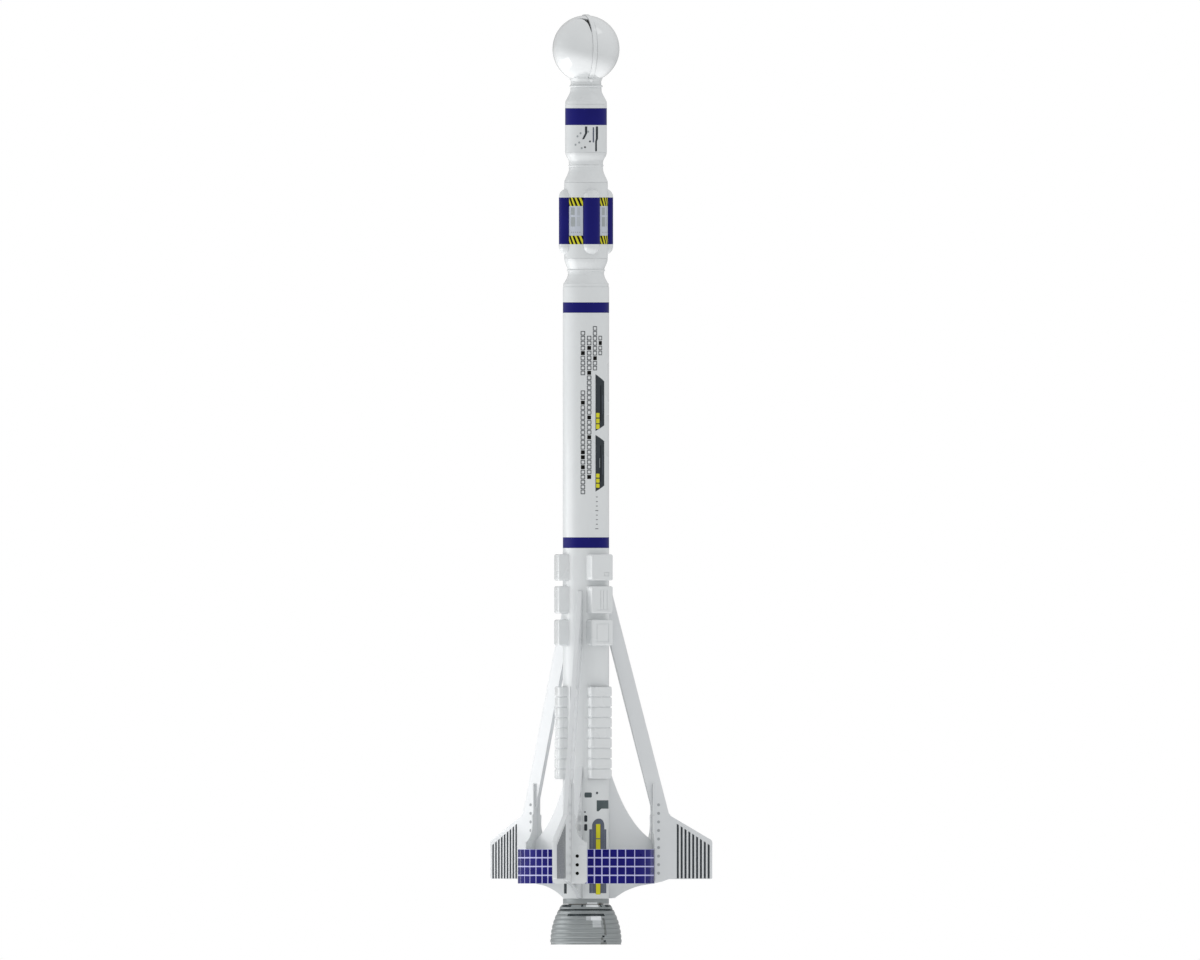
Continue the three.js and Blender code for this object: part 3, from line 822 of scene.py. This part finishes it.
def column_plan(inset, corner=1.4, step=0.0):
    """Plan of a box on the main tube, drawn in by `inset`; its sides step in by `step` near the tube."""
    half, front = BOX_HALF - inset, FACE - inset
    back = math.degrees(math.asin((half - step) / TUBE))
    edge = front - corner
    points = arc(0, 0, TUBE + 0.02, back, -back, 8)
    points += [(edge - 0.9, step - half), (edge - 0.7, -half)]
    points += arc(edge, corner - half, corner, -90, 0, 6) + arc(edge, half - corner, corner, 0, 90, 6)
    return points + [(edge - 0.7, half), (edge - 0.9, half - step)]


def eased_levels(bottom, top, radius, steps=4):
    """Heights and insets that round the bottom and top edges."""
    turns = [math.radians(90 * k / steps) for k in range(steps + 1)]
    curve = [(radius * (1 - math.cos(t)), radius * (1 - math.sin(t))) for t in turns]
    lower = [(bottom + rise, inset) for rise, inset in curve]
    return lower + [(top - rise, inset) for rise, inset in curve[::-1]]


def on_face(across, up, out):
    """Places a flat sheet on the front face of a box on the main tube."""
    return (FACE + out, across, up)


def groove(y0, y1, z0, z1):
    return block_between((FACE - GROOVE_DEPTH, y0, z0), (FACE + 1, y1, z1))


def frame_groove(y0, y1, z0, z1):
    """A groove round a rectangle."""
    line = 0.4
    outer, inner = rectangle(y0, y1, z0, z1), rectangle(y0 + line, y1 - line, z0 + line, z1 - line)
    sides = [(None, side, 0) for side in bordered(outer, inner)]
    return sheet(sides, on_face, -GROOVE_DEPTH, GROOVE_DEPTH + 1, 200)[0]


def block_details(row, bottom, top):
    """The engraved lines on a block's face."""
    if row == "a":
        return [frame_groove(1.2, 5.4, bottom + 3.2, bottom + 6.0)]
    if row == "b":
        lines = [groove(y, y + 0.4, bottom + 3, top - 2.6) for y in (-2.1, 0.4, 3.4)]
        return lines + [groove(-5.4, 5.4, bottom + 2.4, bottom + 2.75)]
    return [frame_groove(-5.4, 5.2, bottom + 2.6, top - 3)]


def blocks():
    for column, turn in enumerate(COLUMN_ANGLES, 1):
        for row in "abc":
            node = f"block_{column}_{row}"
            bottom, top = ends(node)
            shape = loft([[(x, y, z) for x, y in column_plan(inset)]
                          for z, inset in eased_levels(bottom, top, 1.3)])
            shape = carved(shape, *block_details(row, bottom, top))
            moulding(f"equipment_{column}_{row}", moved(shape, turn), "airframe", node)


def ribbed_housings():
    ribs = 9
    rib_edge = ((0.3, 0.75), (0.42, 0.35), (0.75, 0.1), (1.2, 0))
    skirt_half = math.asin(10.6 / TUBE) * TUBE
    for column, angle in enumerate(COLUMN_ANGLES, 1):
        node = f"ribbed_housing_{column}"
        bottom, top = ends(node)
        pitch = (top - bottom) / ribs
        levels = [(bottom, 0.5)]
        for k in range(ribs):
            foot, head = bottom + pitch * k, bottom + pitch * (k + 1)
            levels += [(foot + rise, inset) for rise, inset in rib_edge]
            levels += [(head - drop, inset) for drop, inset in rib_edge[::-1]]
        levels.append((top, 0.5))
        housing = loft([[(x, y, z) for x, y in column_plan(inset, 3.2, 0.35)] for z, inset in levels])
        skirt = sheet([(MOULDED, rounded(rectangle(-skirt_half, skirt_half, bottom, top), 0.6), 0)],
                      on_cylinder(TUBE, 0), 0.02, 0.7, 1.5)[0]
        moulding(f"ribbed_cover_{column}", moved(joined(housing, skirt), angle), "airframe", node)


# Fins

FLAT_BOTTOM = 47.6


def fin_outline():
    """Strut, wing and root panel in one board, without the open triangle between strut and root panel."""
    strut_top, root_top = high("fin_1_strut", "z"), high("fin_1_root_panel", "z")
    strut_out = 28.75 + 0.273 * (222 - strut_top)
    strut_in = 216.2 - (TUBE - 18.6) / 0.2686
    joint, shoulder, tip_top = 50.2, (62.6, 94.3), 75.7
    outline = [(TUBE, strut_top, 0), (strut_out, strut_top), (*shoulder, 1.2), (FIN_TIP, tip_top, 1.2),
               (FIN_TIP, FLAT_BOTTOM, 1.2), (62.1, FLAT_BOTTOM, 1), (57.6, 45.9, 1),
               (joint, FIN_BOTTOM, 1), (40.9, 42.9, 0.5)]
    outline += [(x, z, 0) for x, z in bent((40.9, 42.9), (29, 40), (21.5, 33.8))]
    outline += [(TUBE, TUBE_BOTTOM + 0.1, 0), (TUBE, root_top, 0)]
    outline += [(x, z, 0) for x, z in bent((TUBE, root_top), (29.5, 88.2), (joint, 75.6), 16)]
    outline += [(joint + 0.1, 98.1, 0), (TUBE, strut_in, 0)]
    return rounded(outline, 0.8, 3)


def fins():
    outline = fin_outline()
    for number in range(1, 4):
        turn = 120 * (number - 1)
        piece(f"fin_board_{number}", moved(plate(outline, FIN_HALF), turn), "airframe",
              [CARD_PAINT], [f"fin_{number}_{part}" for part in ("root_panel", "strut", "wing")])
        marks = []
        for k in range(9):
            left = 68.3 + 2.92 * k
            top = 87.9 - 1.82 * k
            marks.append((CHARCOAL, [(left, FLAT_BOTTOM + 0.5), (left + 1.5, FLAT_BOTTOM + 0.5),
                                     (left + 1.5, top - 0.9), (left, top)], 0))
            marks.append((DOT_GREY, disc(54.5, 101.7 - 6.22 * k, 1.1), 0))
        (right, palette), (left, palette) = [sheet(marks, on_fin(turn, side), cut=200) for side in (-1, 1)]
        piece(f"fin_marks_{number}", joined(right, left), "airframe", palette)


def gussets():
    """Curved plates over the ring's ends, one on each side of each fin, with a batten up the strut."""
    inner, outer, corner = FIN_HALF + 0.02, high("fin_1_gusset_left", "y"), 2.4
    thick = 0.8
    radius = high("fin_1_gusset_left", "x") - thick
    batten_top = high("fin_1_gusset_left", "z")
    plan = [(inner, FIN_BOTTOM)] + arc(outer - corner, FIN_BOTTOM + corner, corner, -90, 0, 6)
    plan.append((outer, 74.3))
    plan += bent((outer, 74.3), (5.0, 77.6), (4.5, 88)) + [(4.8, 93.9), (3.6, 94.6), (3.6, batten_top - 1)]
    plan += [(3.2, batten_top), (inner, batten_top)]
    dots = [disc(5.9, height, 1.25) for height in (64.4, 58.0, 51.8)]
    for number in range(1, 4):
        turn = math.radians(120 * (number - 1))
        for side, name in ((1, "left"), (-1, "right")):
            place = on_cylinder(radius, turn)
            cover = sheet([(MOULDED, [(side * x, z) for x, z in plan], 0)], place, 0, thick, 1.5)[0]
            spots = sheet([(BLACK, [(side * x, z) for x, z in dot], 0) for dot in dots], place,
                          thick + 0.02)[0]
            for face in spots.faces:
                face.material_index = 1
            piece(f"gusset_{number}_{name}", joined(cover, spots), "airframe",
                  [MOULDED, BLACK], [f"fin_{number}_gusset_{name}"])


# Solar ring

def solar_ring():
    """Three curved panels. Each facing, in degrees, has the angles of its upright lines from its middle."""
    thick, raised_by = 0.8, 0.12
    outer, inner = RING - raised_by, RING - thick
    half = 60 - math.degrees(math.asin((FIN_HALF + 0.3) / inner))
    even = [math.degrees(math.atan(k / 6)) for k in range(-6, 7)]
    stretched = [-45.0, -38.8, -32.4, -25.6, -18.4, -10.4, -0.3, 14.3, 27.0, 36.0, 45.0]
    half_line, row_pitch, first = 0.475, 6.4, RING_BOTTOM + 6
    levels = [first + row_pitch * k for k in range(3)]
    levels = [RING_BOTTOM + 0.1 - half_line, *levels, RING_TOP - 0.25 + half_line]
    for number, (facing, lines) in enumerate(((60, even), (180, even), (300, stretched)), 1):
        plan = arc(0, 0, outer, -half, half, 64) + arc(0, 0, inner, half, -half, 64)
        base = loft([[(x, y, z) for x, y in plan] for z in (RING_BOTTOM, RING_TOP)])
        stops = [math.radians(turn) * RING for turn in (-half, *lines, half)]
        cells = [(CELL, rounded(rectangle(left + half_line, right - half_line,
                                          foot + half_line, head - half_line), 0.25, 2), 0)
                 for left, right in zip(stops, stops[1:]) for foot, head in zip(levels, levels[1:])]
        laid = sheet(cells, on_cylinder(outer, 0), 0.0, raised_by, 2)[0]
        for face in laid.faces:
            face.material_index = 1
        panel = piece(f"solar_segment_{number}", moved(joined(base, laid), facing), "airframe",
                      [GRID, CELL, MOULDED], [f"solar_panel_{number}"])
        tint(panel, lambda c: from_axis(c) < inner + 0.1, 2)


# Nozzle

BELL_THROAT = 17.6
BELL_POWER = 2.3


def bell_crest(height):
    return BELL_MOUTH - (BELL_MOUTH - BELL_THROAT) * (height / BELL_TOP) ** BELL_POWER


def round_third(centre):
    """A point's angle round the rocket from its facing side, repeating every third of a turn."""
    return (math.degrees(math.atan2(centre.y, centre.x) - FACING) + 360) % 120


def nozzle():
    """The collar in the tube's end and the flared bell with rolled ridges, both carrying patches of painted
    highlight and painted reflection.
    """
    radius, foot, top = upright("nozzle_collar")
    bore, spigot, reflection_patch_top = 13.2, TUBE - PAPER - 0.3, 30.6
    collar = rounded([(bore, foot), (radius, foot), (radius, reflection_patch_top, 0), (radius, TUBE_BOTTOM - 0.1),
                      (spigot, TUBE_BOTTOM - 0.1, 0), (spigot, top), (spigot - PLASTIC, top),
                      (spigot - PLASTIC, TUBE_BOTTOM), (bore, TUBE_BOTTOM - 0.3)], 0.15, 2)
    ring = piece("nozzle_ring", turned(collar, 160), "airframe",
                 [METAL, PAINTED_HIGHLIGHT_METAL, PAINTED_DARK_REFLECTION_METAL], ["nozzle_collar"])
    # Painted highlight (1) and painted dark reflection (2) on the collar's side, in patches set from the side
    # facing the camera and repeated every third of a turn.
    for number, least, most in ((1, 3, 30), (2, 33, 42)):
        tint(ring, lambda c: c.z < reflection_patch_top and least < round_third(c) < most, number)

    ridges, first, pitch, roll = 8, 2.8, 3.51, 0.75
    outside = [(bell_crest(0) - 0.3, 0)]
    for k in range(ridges):
        middle = first + pitch * k
        for step in range(-5, 6):
            share = step / 5
            height = middle + share * pitch / 2
            valley = roll * (1 - math.sqrt(1 - 0.96 * share ** 2))
            if 0 < height < BELL_TOP:
                outside.append((bell_crest(height) - valley, height))
    outside.append((16.2, BELL_TOP))
    inside = [(bell_crest(BELL_TOP * k / 24) - 2.4, BELL_TOP * k / 24) for k in range(24, -1, -1)]
    bell = piece("nozzle_bell_shell", turned(outside + inside, 160), "airframe",
                 [METAL, PAINTED_DARK_BAND_METAL, PAINTED_HIGHLIGHT_METAL, PAINTED_SOFT_HIGHLIGHT_METAL, PAINTED_DARK_REFLECTION_METAL], ["nozzle_bell"])

    def patch(number, *limits):
        """Gives faces outside the bell, between two turns and two heights, one of its painted-light
        materials.
        """
        for least, most, bottom, top in limits:
            tint(bell, lambda c: least < round_third(c) < most and bottom < c.z < top
                 and from_axis(c) > bell_crest(c.z) - 1.6, number)

    # Painted dark reflection bands (1), painted highlight (2), fainter painted highlight (3) and painted dark
    # reflections (4).
    patch(1, (0, 120, 24.4, 26), (0, 38, 20.8, 22.3), (82, 120, 20.8, 22.3), (50, 84, 27.4, 29.1),
          (109, 114, 27.4, 29.1), (33, 38, 27.4, 29.1), (28, 31, 5.4, 6.6), (30, 34, 1.8, 3.2))
    patch(2, (0, 30, 27.2, 29.3), (9, 29, 17.5, 20.6))
    patch(3, (11, 27, 12.6, 17.4), (0, 9, 17.5, 20.6))
    patch(4, (31, 36, 6.6, 19.4), (25, 36, 0.4, 1.8), (26, 30, 3.2, 5.4), (112.5, 114.5, 12, 20.6))


# Motor mount, motor and recovery gear

def motor_parts():
    radius, bottom, top = upright("motor_casing")
    bore = radius - 2.6
    casing = rounded(rectangle(bore, radius, bottom, top), 0.4, 3)
    piece("motor_case", turned(casing), "motor", [KRAFT], ["motor_casing"])
    foot = low("motor_nozzle", "z")
    cone = rounded([(5.6, foot), (bore - 0.1, foot, 0.2), (bore - 0.1, foot + 8, 0), (2.2, foot + 8, 0),
                    (2.2, foot + 5)], 0.5, 3)
    piece("motor_clay_nozzle", turned(cone, 96), "motor", [CLAY], ["motor_nozzle"])
    for node, finish in (("motor_grain", POWDER), ("motor_tube", KRAFT), ("rear_centring_ring", CARD),
                         ("front_centring_ring", CARD), ("thrust_ring", CARD), ("nose_weight", CLAY)):
        cad = frame["nodes"][node]
        cad.data.materials.clear()
        cad.data.materials.append(finish)


def packed_roll(node, name, finish, folds, depth):
    """Folded soft stuff packed in the tube: a round bundle with pleats and gathered ends."""
    radius, bottom, top = upright(node)
    soft = 5
    outline = [(0, bottom)] + arc(radius - soft, bottom + soft, soft, -90, 0, 8)
    outline += [(radius, bottom + soft + (top - bottom - 2 * soft) * k / 30) for k in range(1, 30)]
    outline += arc(radius - soft, top - soft, soft, 0, 90, 8) + [(0, top)]
    bm = turned(outline, 144)
    for vertex in bm.verts:
        turn = math.atan2(vertex.co.y, vertex.co.x)
        wander = noise.noise(Vector((math.cos(turn), math.sin(turn), vertex.co.z * 0.05)) * 1.7)
        pleat = 0.5 + 0.5 * math.sin(folds * turn + 5 * wander + 0.04 * vertex.co.z)
        crumple = 0.5 + 0.5 * noise.noise(vertex.co * 0.28)
        share = 1 - (depth * pleat + depth * 0.6 * crumple) / radius
        vertex.co.x *= share
        vertex.co.y *= share
    obj = piece(name, bm, "airframe", [finish], [node])


def launch_lugs():
    turn, offset, radius, bore = 95, 30.5, 3.2, 2.4
    edge = offset - radius + 0.1
    for place in ("lower", "upper"):
        node = f"launch_lug_{place}"
        bottom, top = ends(node)
        tube = turned(rounded(rectangle(bore, radius, bottom, top), 0.15, 2), 64)
        piece(f"lug_tube_{place}", moved(tube, turn, (offset, 0, 0)), "airframe", [PAINT],
              [node])
        outline = rounded([(TUBE, bottom - 6), (edge, bottom + 2), (edge, top - 2), (TUBE, top + 6)], 0.8, 3)
        piece(f"lug_stand_{place}", moved(plate(outline, 1.2, 0.25), turn), "airframe",
              [CARD_PAINT], [f"lug_standoff_{place}"])


nose_sphere()
transitions()
upper_tube()
middle_tube()
pods()
striped_tube("tube_main", "main_tube", "airframe", [(288.6, 296.4), (459.8, 467.4)])
main_marks()
lower_marks()
blocks()
ribbed_housings()
fins()
gussets()
solar_ring()
nozzle()
motor_parts()
packed_roll("recovery_wadding", "wadding", TISSUE, 9, 0.9)
packed_roll("parachute", "parachute_bundle", CLOTH, 13, 0.8)
launch_lugs()


# Stage: camera, floor, world and lights

def aimed(name, data, centre, azimuth, elevation, distance):
    """An object that looks at a point from a distance in metres; azimuth 0 is in front of the rocket."""
    turn, rise = math.radians(azimuth + VIEW), math.radians(elevation)
    away = Vector((math.sin(turn) * math.cos(rise), -math.cos(turn) * math.cos(rise), math.sin(rise)))
    obj = placed(name, data)
    obj.location = centre * MM + away * distance
    obj.rotation_mode = "QUATERNION"
    obj.rotation_quaternion = (-away).to_track_quat("-Z", "Y")
    return obj


def camera():
    turn = math.radians(VIEW)
    height_in_frame, aspect = 0.969, 1200 / 960
    aside, centre = 10.2, HEIGHT / 2 - 0.4
    data = bpy.data.cameras.new("camera")
    data.type = "ORTHO"
    data.ortho_scale = HEIGHT * MM / height_in_frame * aspect
    data.clip_end = 20
    target = Vector((aside * math.cos(turn), aside * math.sin(turn), centre))
    bpy.context.scene.camera = aimed("camera", data, target, 0, 0, 2.5)


def staged(name, mesh, finish):
    """An object of the set, left out of reflections."""
    mesh.materials.append(finish)
    obj = placed(name, mesh)
    obj.visible_glossy = False
    return obj


def floor():
    size, level = 4.0, -0.0004
    mesh = bpy.data.meshes.new("floor")
    mesh.from_pydata([(x, y, level) for x, y in rectangle(-size, size, -size, size)], [], [(0, 1, 2, 3)])
    pale = material("pale_floor", (240, 240, 240), 0.01, 4, (0.6, 0.7), 300, 0.05, 0.1,
                    Emission_Color=(1, 1, 1, 1), Emission_Strength=0.28)
    staged("floor", mesh, pale)


def backdrop():
    """A white shell round everything that only the camera sees."""
    bm = bmesh.new()
    bmesh.ops.create_icosphere(bm, subdivisions=3, radius=8)
    white = material("white_backdrop", (0, 0, 0), 0, 4, (1, 1), 1, 0, 0, Specular_IOR_Level=0,
                     Emission_Color=(1, 1, 1, 1), Emission_Strength=1)
    obj = staged("backdrop", mesh_of("backdrop", bm), white)
    obj.visible_diffuse = False
    obj.visible_transmission = False
    obj.visible_shadow = False


def world():
    """Soft studio air: white below and grey above, its edge lower on the right and in front."""
    made = bpy.data.worlds.new("studio")
    made.use_nodes = True
    tree = made.node_tree
    rise = added(tree, "VectorMath")
    rise.operation = "DOT_PRODUCT"
    rise.inputs[1].default_value = (0.22, -0.14, 1)
    tree.links.new(added(tree, "TexCoord").outputs["Generated"], rise.inputs[0])
    ramp_share, ramp_start = 0.6, 0.42
    height = maths(tree, "MULTIPLY_ADD", rise.outputs["Value"], ramp_share, ramp_start)
    white, low_grey, high_grey = 1.7, 0.39, 0.84
    greys = ((0.0, 1.0), (0.22, 0.42), (0.34, low_grey / white), (0.9, high_grey / white))
    stops = [(position, (grey, grey * 1.005, grey * 1.01)) for position, grey in greys]
    wired(tree, tree.nodes["Background"], Color=ramp_of(tree, height, stops), Strength=white)
    bpy.context.scene.world = made


def soft_light(name, azimuth, elevation, distance, size, power, glossy):
    """A soft panel aimed at the middle of the rocket."""
    data = bpy.data.lights.new(name, "AREA")
    data.shape = "RECTANGLE"
    data.size, data.size_y = size
    data.energy = power
    obj = aimed(name, data, Vector((0, 0, HEIGHT / 2)), azimuth, elevation, distance)
    obj.visible_glossy = glossy
    obj.visible_camera = False


camera()
floor()
backdrop()
world()
soft_light("rim_left", -112, 2, 1.8, (0.4, 1.6), 8.0, False)
soft_light("low_left", -92, -12, 0.56, (0.5, 0.3), 0.85, True)
soft_light("high_right", 72, 62, 1.4, (0.4, 0.4), 0.3, True)
bpy.context.scene.view_settings.view_transform = "Standard"
